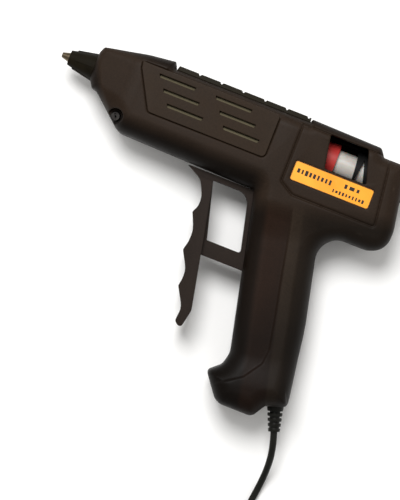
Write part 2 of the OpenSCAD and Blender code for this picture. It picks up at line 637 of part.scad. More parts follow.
module coil_ring(grow) translate([coil_middle.x, coil_middle.y, 0])
    rotate_extrude($fn = 72) polygon(outline([
        [coil_r - coil_half, 2 * coil_half, 2], [coil_r + coil_half, 2 * coil_half, 2],
        [coil_r + coil_half, 0, 2], [coil_r - coil_half, 0, 2]], -grow));
module cord_coil() color([0.09, 0.09, 0.09]) coil_ring(0);
// Strap round the turns, open underneath
module cord_tie() color([0.2, 0.2, 0.2]) intersection() {
    difference() {
        coil_ring(1);
        coil_ring(0.05);
    }
    translate([coil_middle.x - 4, coil_middle.y, 0]) cube([8, 60, 30]);
}
plug_y = -222;
plug_z = 7.2;
plug_back = 22;
plug_face = plug_back - 38;
module plug_body() color([0.08, 0.08, 0.08]) difference() {
    translate([0, 0, plug_z - 7.2]) linear_extrude(14.4) polygon(outline([
        [plug_face, plug_y + plug_w / 2, 3], [plug_face + 17, plug_y + plug_w / 2, 10],
        [plug_back - 8, plug_y + 6, 10], [plug_back, plug_y + 4.2, 1], [plug_back, plug_y - 4.2, 1],
        [plug_back - 8, plug_y - 6, 10], [plug_face + 17, plug_y - plug_w / 2, 10],
        [plug_face, plug_y - plug_w / 2, 3]]));
    for (k = [-1, 1]) along_pin(k, plug_face) cylinder(h = pin_root, r = root_r, $fn = round_fn);
}
pin_root = 12;              // length of a pin's root inside the plug
root_r = pin_d / 2 - 0.5;
pin_tip = 1.2;
module along_pin(k, x) translate([x, plug_y + k * pin_spacing / 2, plug_z]) rotate([0, 90, 0]) children();
module plug_pins() color("silver") for (k = [-1, 1]) {
    along_pin(k, plug_face - pin_length) cylinder(h = pin_tip, r1 = pin_d / 2 - pin_tip, r2 = pin_d / 2, $fn = round_fn);
    along_pin(k, plug_face - pin_length + pin_tip) cylinder(h = pin_length - pin_tip, r = pin_d / 2, $fn = round_fn);
    along_pin(k, plug_face) cylinder(h = pin_root, r = root_r, $fn = round_fn);
}

housing_left();
housing_right();
top_guard();
vent_panel_left();
vent_panel_right();
label();
inlet_collar();
nozzle_cover();
nozzle();
valve_ball();
valve_spring();
melting_chamber();
front_support();
rear_support();
heater_element();
heater_clip();
heater_leads();
inlet_sleeve();
sleeve_clamp();
glue_stick();
feed_carriage();
clamp_jaw();
jaw_pin();
rocker_lever();
rocker_pin();
drive_pin();
link_pin();
trigger();
trigger_spring();
housing_screws();
terminal_block();
cord_clamp();
cord_clamp_screws();
cord_inner();
strain_relief();
cord_lead();
cord_coil();
cord_tie();
cord_tail();
plug_body();
plug_pins();
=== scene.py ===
import json
import math
import bmesh
import bpy
import numpy as np
import openvdb
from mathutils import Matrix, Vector


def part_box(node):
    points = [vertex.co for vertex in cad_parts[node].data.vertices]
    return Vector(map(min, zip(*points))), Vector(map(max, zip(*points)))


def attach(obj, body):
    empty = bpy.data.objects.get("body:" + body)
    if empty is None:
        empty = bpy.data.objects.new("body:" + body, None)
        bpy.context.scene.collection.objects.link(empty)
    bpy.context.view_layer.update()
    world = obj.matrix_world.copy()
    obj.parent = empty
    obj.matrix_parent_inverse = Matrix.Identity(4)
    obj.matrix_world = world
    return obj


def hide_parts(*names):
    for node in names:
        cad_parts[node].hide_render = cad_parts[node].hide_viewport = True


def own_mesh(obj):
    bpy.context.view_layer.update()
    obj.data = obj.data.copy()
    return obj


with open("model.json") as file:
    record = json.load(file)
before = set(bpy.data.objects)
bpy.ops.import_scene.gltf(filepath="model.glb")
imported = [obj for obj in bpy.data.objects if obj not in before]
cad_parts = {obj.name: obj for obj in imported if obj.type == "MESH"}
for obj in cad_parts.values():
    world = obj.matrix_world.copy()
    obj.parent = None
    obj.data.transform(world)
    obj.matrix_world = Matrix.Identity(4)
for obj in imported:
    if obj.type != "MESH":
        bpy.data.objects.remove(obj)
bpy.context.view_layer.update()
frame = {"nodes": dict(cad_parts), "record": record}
cadNodes = frame["nodes"]
mm = 0.001

# The gun's own axes: X back from the nozzle's tip, Y up from the barrel's axis, Z left from the split line.
stickLow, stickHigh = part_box("glue_stick")
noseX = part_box("nozzle")[0].x
axisY = (stickLow.y + stickHigh.y) / 2
splitZ = (stickLow.z + stickHigh.z) / 2
halfWidth = (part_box("housing_left")[1].z - splitZ) / mm


def at(x, y, z=0.0):
    return Vector((noseX + x * mm, axisY + y * mm, splitZ + z * mm))


def linked(name, mesh):
    obj = bpy.data.objects.new(name, mesh)
    bpy.context.scene.collection.objects.link(obj)
    return obj


# camera and light
cameraSetup = {
    "aim": at(115.8, -76.2),  # point that the view is centred on
    "turn": 21.5,             # degrees that the picture is turned against the barrel
    "height": 1.15,           # metres above the split line
    "span": 0.290,            # metres that the picture's long side covers there
}


def makeCamera(setup):
    data = bpy.data.cameras.new("camera")
    camera = linked("camera", data)
    data.sensor_width = 36
    data.lens = data.sensor_width * setup["height"] / setup["span"]
    camera.location = setup["aim"] + Vector((0, 0, setup["height"]))
    camera.rotation_euler = (0, 0, math.radians(setup["turn"]))
    bpy.context.scene.camera = camera


lights = {
    # name: place from the gun's middle, size, power
    "overhead": ((-0.30, 0.52, 1.10), 0.6, 16.0),
    "leftSoft": ((-0.90, 0.35, 0.90), 0.6, 1.5),
    "rightSoft": ((0.95, 0.45, 0.70), 0.6, 1.5),
}
worldGlow = 0.50
floorTone = 0.9


def makeLights(setup):
    middle = cameraSetup["aim"]
    for name, (place, size, power) in setup.items():
        data = bpy.data.lights.new(name, "AREA")
        data.shape = "DISK"
        data.size = size
        data.energy = power
        lamp = linked(name, data)
        lamp.location = middle + Vector(place)
        lamp.rotation_euler = (-Vector(place)).to_track_quat("-Z", "Y").to_euler()
    world = bpy.data.worlds.new("studio")
    world.use_nodes = True
    sky = world.node_tree.nodes["Background"]
    sky.inputs["Color"].default_value = (1.0, 0.99, 0.97, 1)
    sky.inputs["Strength"].default_value = worldGlow
    bpy.context.scene.world = world
    bpy.context.scene.view_settings.view_transform = "Standard"


makeCamera(cameraSetup)
makeLights(lights)
print("camera and lights ready")


# materials
def startMaterial(name):
    material = bpy.data.materials.new(name)
    material.use_nodes = True
    tree = material.node_tree
    shader = tree.nodes["Principled BSDF"]
    place = tree.nodes.new("ShaderNodeTexCoord").outputs["Object"]
    return material, tree, shader, place


def noise(tree, place, scale, detail=2.0, rough=0.5):
    node = tree.nodes.new("ShaderNodeTexNoise")
    tree.links.new(place, node.inputs["Vector"])
    node.inputs["Scale"].default_value = scale
    node.inputs["Detail"].default_value = detail
    node.inputs["Roughness"].default_value = rough
    return node.outputs["Fac"]


def ramp(tree, factor, stops):
    node = tree.nodes.new("ShaderNodeValToRGB")
    tree.links.new(factor, node.inputs["Fac"])
    elements = node.color_ramp.elements
    while len(elements) < len(stops):
        elements.new(0.5)
    for element, (position, colour) in zip(elements, stops):
        element.position = position
        element.color = (*colour, 1)
    return node.outputs["Color"]


def remap(tree, factor, low, high, newLow, newHigh):
    node = tree.nodes.new("ShaderNodeMapRange")
    tree.links.new(factor, node.inputs["Value"])
    for name, value in zip(("From Min", "From Max", "To Min", "To Max"), (low, high, newLow, newHigh)):
        if isinstance(value, bpy.types.NodeSocket):
            tree.links.new(value, node.inputs[name])
        else:
            node.inputs[name].default_value = value
    return node.outputs["Result"]


def blendColours(tree, factor, first, second, mode="MIX"):
    node = tree.nodes.new("ShaderNodeMix")
    node.data_type = "RGBA"
    node.blend_type = mode
    ports = node.inputs
    # a Mix node's colours are its sockets 6 and 7, and its result is socket 2
    for key, value in ((0, factor), (6, first), (7, second)):
        if isinstance(value, (float, int)):
            ports[key].default_value = value
        elif isinstance(value, tuple):
            ports[key].default_value = (*value, 1)
        else:
            tree.links.new(value, ports[key])
    return node.outputs[2]


def bump(tree, shader, layers):
    normal = None
    for height, distance, strength in layers:
        node = tree.nodes.new("ShaderNodeBump")
        node.inputs["Distance"].default_value = distance
        node.inputs["Strength"].default_value = strength
        tree.links.new(height, node.inputs["Height"])
        if normal:
            tree.links.new(normal, node.inputs["Normal"])
        normal = node.outputs["Normal"]
    tree.links.new(normal, shader.inputs["Normal"])


plastic = {
    "grain": 2400.0,           # how fine the pitted surface is
    "rough": (0.44, 0.60),
    "level": 0.08,             # specular level
    "pale": 1.9, "speckle": 0.22,   # how much paler the fine speckle is, and how much of it there is
    "wornPale": 2.0, "wornLift": 0.008,   # how much paler worn edges are
    "wornFrom": 0.53, "wornTo": 0.62,     # pointiness over which the wear comes in
}


def mouldedPlastic(name, dark, light, wear=0.30, depth=0.00004, bands=None):
    material, tree, shader, place = startMaterial(name)
    clouds = noise(tree, place, 38.0, 4.0, 0.6)
    speckle = noise(tree, place, plastic["grain"] * 0.45, 2.0, 0.6)
    colour = ramp(tree, clouds, [(0.3, dark), (0.7, light)])
    amount = remap(tree, speckle, 0.35, 0.65, 0.0, plastic["speckle"])
    colour = blendColours(tree, amount, colour, tuple(min(c * plastic["pale"], 1) for c in light))
    edges = tree.nodes.new("ShaderNodeNewGeometry").outputs["Pointiness"]
    worn = remap(tree, edges, plastic["wornFrom"], plastic["wornTo"], 0.0, wear)
    bare = tuple(min(c * plastic["wornPale"] + plastic["wornLift"], 1) for c in light)
    colour = blendColours(tree, worn, colour, bare)
    # painted shade and painted highlight laid over the colour, where a material is given them
    if bands:
        colour = bands(tree, place, colour)
    tree.links.new(colour, shader.inputs["Base Color"])
    tree.links.new(remap(tree, clouds, 0.3, 0.7, *plastic["rough"]), shader.inputs["Roughness"])
    shader.inputs["Specular IOR Level"].default_value = plastic["level"]
    pits = noise(tree, place, plastic["grain"], 2.0, 0.7)
    waves = noise(tree, place, 60.0, 2.0, 0.5)
    bump(tree, shader, [(waves, 0.0002, 0.15), (pits, depth, 0.7)])
    return material


def metal(name, dark, light, rough=(0.22, 0.42), brush=(1.0, 1.0, 1.0), scale=900.0, depth=0.00001):
    material, tree, shader, place = startMaterial(name)
    mapping = tree.nodes.new("ShaderNodeMapping")
    mapping.inputs["Scale"].default_value = brush
    tree.links.new(place, mapping.inputs["Vector"])
    marks = noise(tree, mapping.outputs["Vector"], scale, 3.0, 0.6)
    stain = noise(tree, place, 180.0, 3.0, 0.6)
    tree.links.new(ramp(tree, stain, [(0.35, dark), (0.65, light)]), shader.inputs["Base Color"])
    tree.links.new(remap(tree, marks, 0.3, 0.7, *rough), shader.inputs["Roughness"])
    shader.inputs["Metallic"].default_value = 1.0
    bump(tree, shader, [(marks, depth, 0.5)])
    return material


def rubber(name, dark, light, rough=(0.5, 0.68), grain=1500.0, depth=0.00002, shine=0.25):
    material, tree, shader, place = startMaterial(name)
    clouds = noise(tree, place, 90.0, 3.0, 0.6)
    tree.links.new(ramp(tree, clouds, [(0.3, dark), (0.7, light)]), shader.inputs["Base Color"])
    tree.links.new(remap(tree, clouds, 0.3, 0.7, *rough), shader.inputs["Roughness"])
    shader.inputs["Specular IOR Level"].default_value = shine
    bump(tree, shader, [(noise(tree, place, grain, 2.0, 0.6), depth, 0.6)])
    return material


# sizes in metres, each tone multiplies the plastic's own colour, as painted shade and painted highlight
# where light falls on the housing's curves
gripShade = {
    "origin": at(132.9, -36),  # top of the grip's front edge
    "lean": 13.2,              # degrees that the grip leans back
    "from": 0.0, "to": 0.010,  # how far below there the tones come in
    # place across the grip and the tone there: painted shade on the front edge, a painted highlight on the
    # ridge between the sunk side and the back's fall, painted shade beyond it
    "bands": [(0.0, (0.35, 0.35, 0.35)), (0.007, (0.40, 0.38, 0.38)), (0.010, (0.85, 0.66, 0.60)),
              (0.020, (0.75, 0.62, 0.60)), (0.0226, (0.70, 0.62, 0.60)), (0.0240, (1.15, 1.24, 1.30)),
              (0.0290, (1.00, 1.10, 1.16)), (0.0310, (0.66, 0.72, 0.76)), (0.040, (0.42, 0.46, 0.48))],
    "belly": (0.010, 0.018),   # heights over the origin between which painted shade darkens the barrel's side as it curves under
    "bellyShade": 0.25,
    "bellyEnd": 0.004,         # it ends this far to each side of the origin
    # painted shade on the upper edge of the side, where it curves away
    "top": (0.048, 0.0515), "topShade": 0.4,
    "foot": (0.045, 0.080), "footTone": 0.5,   # how far down the grip it darkens
    # painted shade: the nose darkens from this place on, this way, where its lower face falls away
    "noseFrom": at(25.5, -2.5), "noseWay": Vector((-0.87, -0.49, 0)), "noseRun": 0.003, "noseShade": 0.4,
}


def measureAlong(tree, place, direction):
    node = tree.nodes.new("ShaderNodeVectorMath")
    node.operation = "DOT_PRODUCT"
    tree.links.new(place, node.inputs[0])
    node.inputs[1].default_value = direction
    return node.outputs["Value"]


def paintGripShade(tree, place, colour):
    # painted shade and painted highlight that follow the grip's length, laid over the plastic's own colour,
    # with painted shade under the barrel, on its upper edge and on the nose, and darker towards the foot
    lean = math.radians(gripShade["lean"])
    shifted = tree.nodes.new("ShaderNodeVectorMath")
    shifted.operation = "SUBTRACT"
    tree.links.new(place, shifted.inputs[0])
    shifted.inputs[1].default_value = gripShade["origin"]
    fromFront = measureAlong(tree, shifted.outputs[0], (math.cos(lean), math.sin(lean), 0))
    downGrip = measureAlong(tree, shifted.outputs[0], (math.sin(lean), -math.cos(lean), 0))
    width = gripShade["bands"][-1][0]
    across = remap(tree, fromFront, 0.0, width, 0.0, 1.0)
    tones = ramp(tree, across, [(a / width, tone) for a, tone in gripShade["bands"]])
    amount = remap(tree, downGrip, gripShade["from"], gripShade["to"], 0.0, 1.0)
    colour = blendColours(tree, amount, colour, tones, "MULTIPLY")
    parts = tree.nodes.new("ShaderNodeSeparateXYZ")
    tree.links.new(shifted.outputs[0], parts.inputs[0])
    belly = remap(tree, parts.outputs["Y"], *gripShade["belly"], gripShade["bellyShade"], 1.0)
    end = gripShade["bellyEnd"]
    front = remap(tree, parts.outputs["X"], -end, end, belly, 1.0)
    upper = remap(tree, parts.outputs["Y"], *gripShade["top"], 1.0, gripShade["topShade"])
    beyond = measureAlong(tree, place, gripShade["noseWay"])
    start = gripShade["noseFrom"].dot(gripShade["noseWay"])
    nose = remap(tree, beyond, start, start + gripShade["noseRun"], 1.0, gripShade["noseShade"])
    foot = remap(tree, downGrip, *gripShade["foot"], 1.0, gripShade["footTone"])
    for shade in (front, upper, nose, foot):
        grey = tree.nodes.new("ShaderNodeCombineColor")
        for port in grey.inputs:
            tree.links.new(shade, port)
        colour = blendColours(tree, 1.0, colour, grey.outputs[0], "MULTIPLY")
    return colour


finishes = {
    # the housing's plastic carries painted shade and painted highlight on the grip, under the barrel, on
    # the upper edge and on the nose
    "housing": mouldedPlastic("charcoalPlastic", (0.0132, 0.0078, 0.0046), (0.0184, 0.0112, 0.0070),
                              bands=paintGripShade),
    "panel": mouldedPlastic("panelPlastic", (0.0150, 0.0090, 0.0050), (0.0205, 0.0126, 0.0074)),
    "guard": mouldedPlastic("olivePlastic", (0.0070, 0.0054, 0.0026), (0.0112, 0.0088, 0.0045), wear=0.4),
    "trigger": mouldedPlastic("triggerPlastic", (0.0112, 0.0074, 0.0056), (0.0152, 0.0102, 0.0078)),
    # olive like the guard's insert, but painted far paler: a painted highlight for the light caught on the
    # blades' lower lips
    "louvre": mouldedPlastic("louvreHighlightPlastic", (0.055, 0.047, 0.029), (0.075, 0.064, 0.040), wear=0.2),
    "screw": metal("blackedSteel", (0.014, 0.013, 0.013), (0.026, 0.024, 0.022), rough=(0.4, 0.55)),
    "black_plastic": mouldedPlastic("blackPlastic", (0.0035, 0.0035, 0.0035), (0.006, 0.006, 0.0058),
                                    wear=0.2),
    "nozzle_cover": rubber("nozzleSilicone", (0.0045, 0.0033, 0.0014), (0.0080, 0.0058, 0.0026),
                           shine=0.06),
    "brass": metal("turnedBrass", (0.085, 0.066, 0.043), (0.165, 0.130, 0.085), brush=(1, 12, 12)),
    "steel": metal("plainSteel", (0.42, 0.42, 0.42), (0.62, 0.61, 0.60)),
    "aluminium": metal("castAluminium", (0.50, 0.50, 0.51), (0.68, 0.68, 0.70),
                       rough=(0.4, 0.6), scale=500),
    "pin_metal": metal("nickelPins", (0.62, 0.60, 0.56), (0.80, 0.78, 0.75),
                       rough=(0.12, 0.25), brush=(0.2, 6, 6)),
    "insulation": rubber("pressedFibre", (0.42, 0.33, 0.20), (0.60, 0.50, 0.34), grain=800, depth=0.00006),
    "ceramic": rubber("unglazedCeramic", (0.70, 0.66, 0.58), (0.84, 0.81, 0.75), grain=1200),
    "lead_insulation": rubber("redLeads", (0.42, 0.02, 0.02), (0.58, 0.04, 0.03)),
    "red_silicone": rubber("redSilicone", (0.30, 0.020, 0.018), (0.42, 0.035, 0.030), rough=(0.35, 0.5)),
    "cord_rubber": rubber("cordRubber", (0.0060, 0.0060, 0.0045), (0.0100, 0.0098, 0.0078),
                          rough=(0.38, 0.55), shine=0.12),
    "plug_rubber": rubber("plugRubber", (0.011, 0.011, 0.011), (0.018, 0.018, 0.017)),
}


def glueMaterial():
    material, tree, shader, place = startMaterial("translucentGlue")
    clouds = noise(tree, place, 120.0, 3.0, 0.5)
    tree.links.new(ramp(tree, clouds, [(0.3, (0.44, 0.41, 0.37)), (0.7, (0.54, 0.51, 0.47))]),
                   shader.inputs["Base Color"])
    tree.links.new(remap(tree, clouds, 0.3, 0.7, 0.25, 0.38), shader.inputs["Roughness"])
    shader.inputs["Subsurface Weight"].default_value = 0.25
    shader.inputs["Subsurface Scale"].default_value = 0.003
    bump(tree, shader, [(noise(tree, place, 220.0, 2.0), 0.0001, 0.3)])
    return material


def labelMaterial():
    material, tree, shader, place = startMaterial("printedFilm")
    tint = noise(tree, place, 45.0, 3.0, 0.6)
    ink = ramp(tree, tint, [(0.3, (0.80, 0.27, 0.002)), (0.7, (0.88, 0.34, 0.003))])
    scuffs = remap(tree, noise(tree, place, 260.0, 5.0, 0.75), 0.62, 0.75, 0.0, 0.35)
    tree.links.new(blendColours(tree, scuffs, ink, (0.70, 0.38, 0.10)), shader.inputs["Base Color"])
    tree.links.new(remap(tree, tint, 0.3, 0.7, 0.30, 0.42), shader.inputs["Roughness"])
    bump(tree, shader, [(noise(tree, place, 500.0, 2.0), 0.00001, 0.4)])
    return material


finishes["glue"] = glueMaterial()
finishes["label_face"] = labelMaterial()
# ink for the label's printed marks, and for its dark rim of painted shadow
inkAndShadowFinish = rubber("inkAndEdgeShadow", (0.012, 0.010, 0.008), (0.020, 0.016, 0.012))
slotOf = {part["node"]: part["material_slot"] for part in frame["record"]["subparts"]}
bodies = frame["record"]["behaviour"]["bodies"]
bodyOf = {node: body for body, members in bodies.items() for node in members}


def floorMaterial():
    material, tree, shader, place = startMaterial("paleFloor")
    tone = noise(tree, place, 3.0, 2.0)
    pale = tuple(floorTone * c for c in (1.0, 0.995, 0.985))
    darker = tuple(c * 0.985 for c in pale)
    tree.links.new(ramp(tree, tone, [(0.2, darker), (0.8, pale)]), shader.inputs["Base Color"])
    shader.inputs["Roughness"].default_value = 0.9
    shader.inputs["Specular IOR Level"].default_value = 0.1
    return material


def makeFloor(size=4.0):
    mesh = bpy.data.meshes.new("floor")
    half = size / 2
    corners = [(-half, -half, 0), (half, -half, 0), (half, half, 0), (-half, half, 0)]
    mesh.from_pydata(corners, [], [(0, 1, 2, 3)])
    floor = linked("floor", mesh)
    floor.data.materials.append(floorMaterial())


makeFloor()
for node, obj in cadNodes.items():
    obj.data.materials.clear()
    obj.data.materials.append(finishes[slotOf[node]])
print("materials ready")

# mains lead, in the frame's own millimetres
cord = {
    "diameter": 4.0,
    "lead": [(81.88, -76.61, 20), (83.43, -81.37, 20), (84.97, -86.12, 20), (86.52, -90.87, 20),
             (88, -95.4, 19.5), (89.4, -100.4, 17.8), (90.6, -106, 14.6), (91.3, -112, 10.4),
             (91.5, -118, 6.6), (91.2, -125, 3.5), (90.4, -133, 2.2), (89.4, -142, 2),
             (88.6, -152, 2), (88.2, -162, 2), (88, -172, 2), (88, -184, 2)],
    "tail": [(50, -222, 10), (44, -222, 9.8), (37, -222, 9), (29, -222, 7.8), (22, -222, 7.2)],
    "coilMiddle": (60, -194),
    # radius and height of each turn, in the order that they are wound
    "turns": [(28, 2), (24, 2), (20, 2), (20, 6), (20, 10), (24, 10), (24, 6), (28, 6), (28, 10)],
    "turnAngle": 330,         # degrees wound in each of those places
    "moveAngle": 75,          # degrees taken to move to the next
    "step": 10,               # degrees from one point of the coil to the next
}


def smoothPath(points, parts=4):
    # a curve through all the points
    path = []
    for i in range(len(points) - 1):
        a, b = points[max(i - 1, 0)], points[i]
        c, d = points[i + 1], points[min(i + 2, len(points) - 1)]
        for k in range(parts):
            t = k / parts
            path.append(0.5 * (2 * b + (c - a) * t + (2 * a - 5 * b + 4 * c - d) * t * t
                               + (3 * b - a - 3 * c + d) * t * t * t))
    return path + [points[-1]]


def coilPath(size):
    count, turn, move = len(size["turns"]), size["turnAngle"], size["moveAngle"]
    path = []
    for angle in range(0, count * turn + 1, size["step"]):
        place = min(angle // turn, count - 1)
        radius, height = size["turns"][place]
        if place < count - 1:
            share = max(0.0, (angle - place * turn - (turn - move)) / move)
            ease = (1 - math.cos(math.pi * share)) / 2
            nextRadius, nextHeight = size["turns"][place + 1]
            radius += (nextRadius - radius) * ease
            height += (nextHeight - height) * ease
        a = -math.radians(angle)
        x, y = size["coilMiddle"]
        path.append(Vector((x + radius * math.cos(a), y + radius * math.sin(a), height)))
    return path


def makeCord(size):
    route = smoothPath([Vector(p) for p in size["lead"]])
    route += coilPath(size)
    route += smoothPath([Vector(p) for p in size["tail"]])
    route = [p * mm for p in route]
    curve = bpy.data.curves.new("mainsLead", "CURVE")
    curve.dimensions = "3D"
    curve.bevel_depth = size["diameter"] * mm / 2
    curve.bevel_resolution = 4
    curve.use_fill_caps = True
    spline = curve.splines.new("POLY")
    spline.points.add(len(route) - 1)
    for point, place in zip(spline.points, route):
        point.co = (*place, 1)
    spline.use_smooth = True
    lead = linked("mainsLead", curve)
    curve.materials.append(finishes["cord_rubber"])
    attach(lead, "gun")
    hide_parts("cord_lead", "cord_coil", "cord_tail")


# ways to finish a piece
def mergedCopy(node, name, reach=2e-6, flat=0.5):
    # a CAD node's mesh with its triangles joined up into flat faces
    mesh = cadNodes[node].data.copy()
    mesh.name = name
    for attribute in [a.name for a in mesh.attributes if a.name == "custom_normal"]:
        mesh.attributes.remove(mesh.attributes[attribute])
    bm = bmesh.new()
    bm.from_mesh(mesh)
    bmesh.ops.remove_doubles(bm, verts=bm.verts, dist=reach)
    bmesh.ops.dissolve_limit(bm, angle_limit=math.radians(flat), verts=bm.verts, edges=bm.edges)
    bm.to_mesh(mesh)
    bm.free()
    return linked(name, mesh)


def settle(obj):
    # turns an object's modifiers into its mesh
    graph = bpy.context.evaluated_depsgraph_get()
    mesh = bpy.data.meshes.new_from_object(obj.evaluated_get(graph))
    obj.modifiers.clear()
    obj.data = mesh
    mesh.name = obj.name


def soften(obj, width, segments=2, angle=32.0):
    bevel = obj.modifiers.new("softEdges", "BEVEL")
    bevel.width = width * mm
    bevel.segments = segments
    bevel.limit_method = "ANGLE"
    bevel.angle_limit = math.radians(angle)
    bevel.use_clamp_overlap = True
    settle(obj)


def smoothShade(obj, angle=34.0):
    mesh = obj.data
    mesh.shade_smooth()
    mesh.set_sharp_from_angle(angle=math.radians(angle))
    weighted = obj.modifiers.new("evenNormals", "WEIGHTED_NORMAL")
    weighted.keep_sharp = True
    settle(obj)


def stand(obj, *nodes, finish=None):
    # a finished piece takes the place of these CAD nodes
    slot = slotOf[nodes[0]]
    obj.data.materials.clear()
    obj.data.materials.append(finish or finishes[slot])
    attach(obj, bodyOf[nodes[0]])
    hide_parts(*nodes)


# housing shells, as smooth moulded surfaces, in the gun's own millimetres
shell = {
    "wall": 2.4,
    "skin": 0.1,              # kept back from the sides, so that no face stands past the CAD solids
    "cell": 0.5,              # spacing of the grid that the surface is taken from
    "gridX": (18.5, 217.6), "gridY": (-156.5, 21.4),
    "gridBelow": -1.0, "gridAbove": 1.3,   # past the split line and past the side
    "triangles": 150000,      # most in one finished half
    # side outline, clockwise: x, y and corner radius
    "side": [(20.5, -7.6, 0.6), (20.5, 8.4, 0.8), (22.1, 12.3, 1.4), (48, 17.4, 30), (63.7, 19.3, 0.6),
             (65.4, 15.2, 0), (148.3, 15.2, 0), (148.6, 17.2, 0.5), (191.5, 16.4, 2.5), (194.9, 11.7, 0.5),
             (208.5, 11.7, 4), (215.5, -26, 10), (215.2, -41, 11), (176.07, -41, 13), (189.06, -96.5, 90),
             (195.81, -142.2, 3.5), (183.45, -146.2, 1.5), (178.45, -154.5, 5), (156.19, -154.5, 9),
             (144.88, -139.5, 2.4), (152.11, -133, 6), (153.89, -125.5, 12), (132.01, -32.2, 1),
             (46.5, -30.2, 10), (26, -12.4, 4), (23.3, -12, 0.8)],
    "noseHalf": 12.5, "noseSlope": 0.30, "noseBlend": 1.5,
    "gripTop": (132.9, -36), "gripLean": 13.2, "gripInset": 3.0, "gripNarrows": 24,
    "footFrom": -90, "footTo": -110,   # along the grip, where it flares to the foot
    # edge radii, and the depths or places between which one goes over into the next
    "topRadius": 8.0, "bellyRadius": 13.0, "gripRadius": 11.5, "noseRadius": 3.5,
    "topToBelly": (2, 16), "bellyEnd": (132, 150), "bellyToGrip": (36, 50), "noseToTop": (22, 44),
    "vent": [(45.7, 12.8, 1), (131, 12.8, 2), (131, -14.3, 3), (59, -14.3, 3), (46.5, 8.2, 4)],
    "rearPanel": [(144, 12.8, 0.6), (198.5, 12.8, 2), (204, -28.2, 2), (153, -28.2, 2), (144, -23, 2)],
    "window": [(161.3, 12.5, 0.8), (184.5, 12.5, 0.8), (190.3, -7, 0.8), (164.9, -7, 0.8)],
    "label": [(148.2, -8.2, 1.5), (196.2, -8.2, 1.5), (196.2, -20, 1.5), (148.2, -20, 1.5)],
    "triggerSlot": [(126.9, -32.2, 0), (152, -32.2, 0), (163, -79.2, 0), (137, -79.2, 0)],
    "slotHalf": 4.9,
    "pocket": 1.5, "ventDepth": 9, "windowDepth": 12,
    "labelSink": 0.5, "labelRun": (-0.55, 0.35),
    "grooveDepth": 1.1, "grooveHalf": 0.55, "grooveInset": 0.45,   # line round the rear panel
    "cutEdge": 0.45,          # radius on the edges of the cuts
    # screw places and the side that each head is on
    "screws": [(42.5, -22.5, 1), (98.5, -25.2, -1), (204, -31, -1), (186.5, -31.5, -1), (175.1, -88, -1),
               (183.6, -110.5, -1), (164.8, -144.5, -1)],
    "headDepth": 10, "leftHead": 4.5, "rightHead": 3.3, "bossWall": 1.2,
    "pilot": 1.55, "pilotCover": 1.6,   # the screw's own hole ends this far under the surface
    "nozzleHole": 7.7, "nozzleHoleEnd": 24, "inletHole": 10.7, "inletHoleStart": 189.5,
    "bootSeat": (189.63, -144.2), "bootLean": 18, "bootHole": 3.9, "bootDepth": 6,
    # edge of the grip's sunk side, and the depths where the sink starts and ends
    "gripEdge": [(157.2, -33), (162, -55), (166, -75), (170.5, -95), (174.5, -115), (173.5, -124),
                 (166, -135), (151, -145.5)],
    "gripSink": 1.0, "sinkRun": 1.8, "sinkStart": (34, 44), "sinkEnd": 152, "sinkEndRun": 10,
    # edge of the face that falls away to the back of the handle
    "backEdge": [(163.5, -40), (167.5, -53), (172, -75), (177, -95), (181.5, -115), (190.5, -133)],
    "backFall": 0.18, "backReach": 30, "backStart": (42, 60),
    # edge of the nose's lower face, which falls away forwards
    "noseEdge": [(23.4, 4), (24.6, 0), (28, -8), (37, -19), (41, -31)],
    "noseFall": 0.42, "noseReach": 20, "noseTop": 4, "noseTopRun": 6, "noseEnd": 60,
}
ventSlots = {
    "rows": (8.0, 0.8, -6.5),
    "first": 58.5, "shift": 5.0, "pitch": 34.4,   # start of the first slot, lean of the rows, next column
    "length": 21.5, "height": 2.0, "spare": 0.5,
}


def roundedOutline(points, step=5.0):
    # straight runs joined by arcs
    corners = [Vector(p[:2]) for p in points]
    line = []
    for i, (x, y, radius) in enumerate(points):
        b = corners[i]
        if radius <= 0:
            line.append((b.x, b.y))
            continue
        u = (corners[i - 1] - b).normalized()
        w = (corners[(i + 1) % len(corners)] - b).normalized()
        half = math.acos(max(-1, min(1, u.dot(w)))) / 2
        middle = b + (u + w).normalized() * radius / math.sin(half)
        start = b + u * radius / math.tan(half) - middle
        end = b + w * radius / math.tan(half) - middle
        first = math.atan2(start.y, start.x)
        turn = (math.atan2(end.y, end.x) - first + 3 * math.pi) % (2 * math.pi) - math.pi
        count = max(1, math.ceil(abs(math.degrees(turn)) / step))
        for k in range(count + 1):
            a = first + turn * k / count
            line.append((middle.x + radius * math.cos(a), middle.y + radius * math.sin(a)))
    return line


def outlineDistance(line, x, y):
    # distance to a closed outline, negative inside
    nearest = np.full(x.shape, 1e9, np.float32)
    inside = np.zeros(x.shape, bool)
    for (ax, ay), (bx, by) in zip(line, line[1:] + line[:1]):
        ex, ey = bx - ax, by - ay
        t = np.clip(((x - ax) * ex + (y - ay) * ey) / (ex * ex + ey * ey + 1e-12), 0, 1)
        nearest = np.minimum(nearest, (x - ax - t * ex) ** 2 + (y - ay - t * ey) ** 2)
        if ay != by:
            crosses = (ay > y) != (by > y)
            inside ^= crosses & (x < ax + (y - ay) * ex / ey)
    return np.where(inside, -1, 1) * np.sqrt(nearest)


def sideOfLine(points, x, y):
    # distance to an open line, positive towards the back of the grip
    best = np.full(x.shape, 1e9, np.float32)
    signed = np.zeros(x.shape, np.float32)
    for (ax, ay), (bx, by) in zip(points, points[1:]):
        ex, ey = bx - ax, by - ay
        length = math.hypot(ex, ey)
        t = np.clip(((x - ax) * ex + (y - ay) * ey) / length ** 2, 0, 1)
        d = np.hypot(x - ax - t * ex, y - ay - t * ey)
        side = np.where(ex * (y - ay) - ey * (x - ax) > 0, 1, -1)
        closer = d < best - 1e-4
        best = np.where(closer, d, best)
        signed = np.where(closer, side * d, signed)
    return signed


def smoothStep(value, low, high):
    t = np.clip((value - low) / (high - low), 0, 1)
    return t * t * (3 - 2 * t)


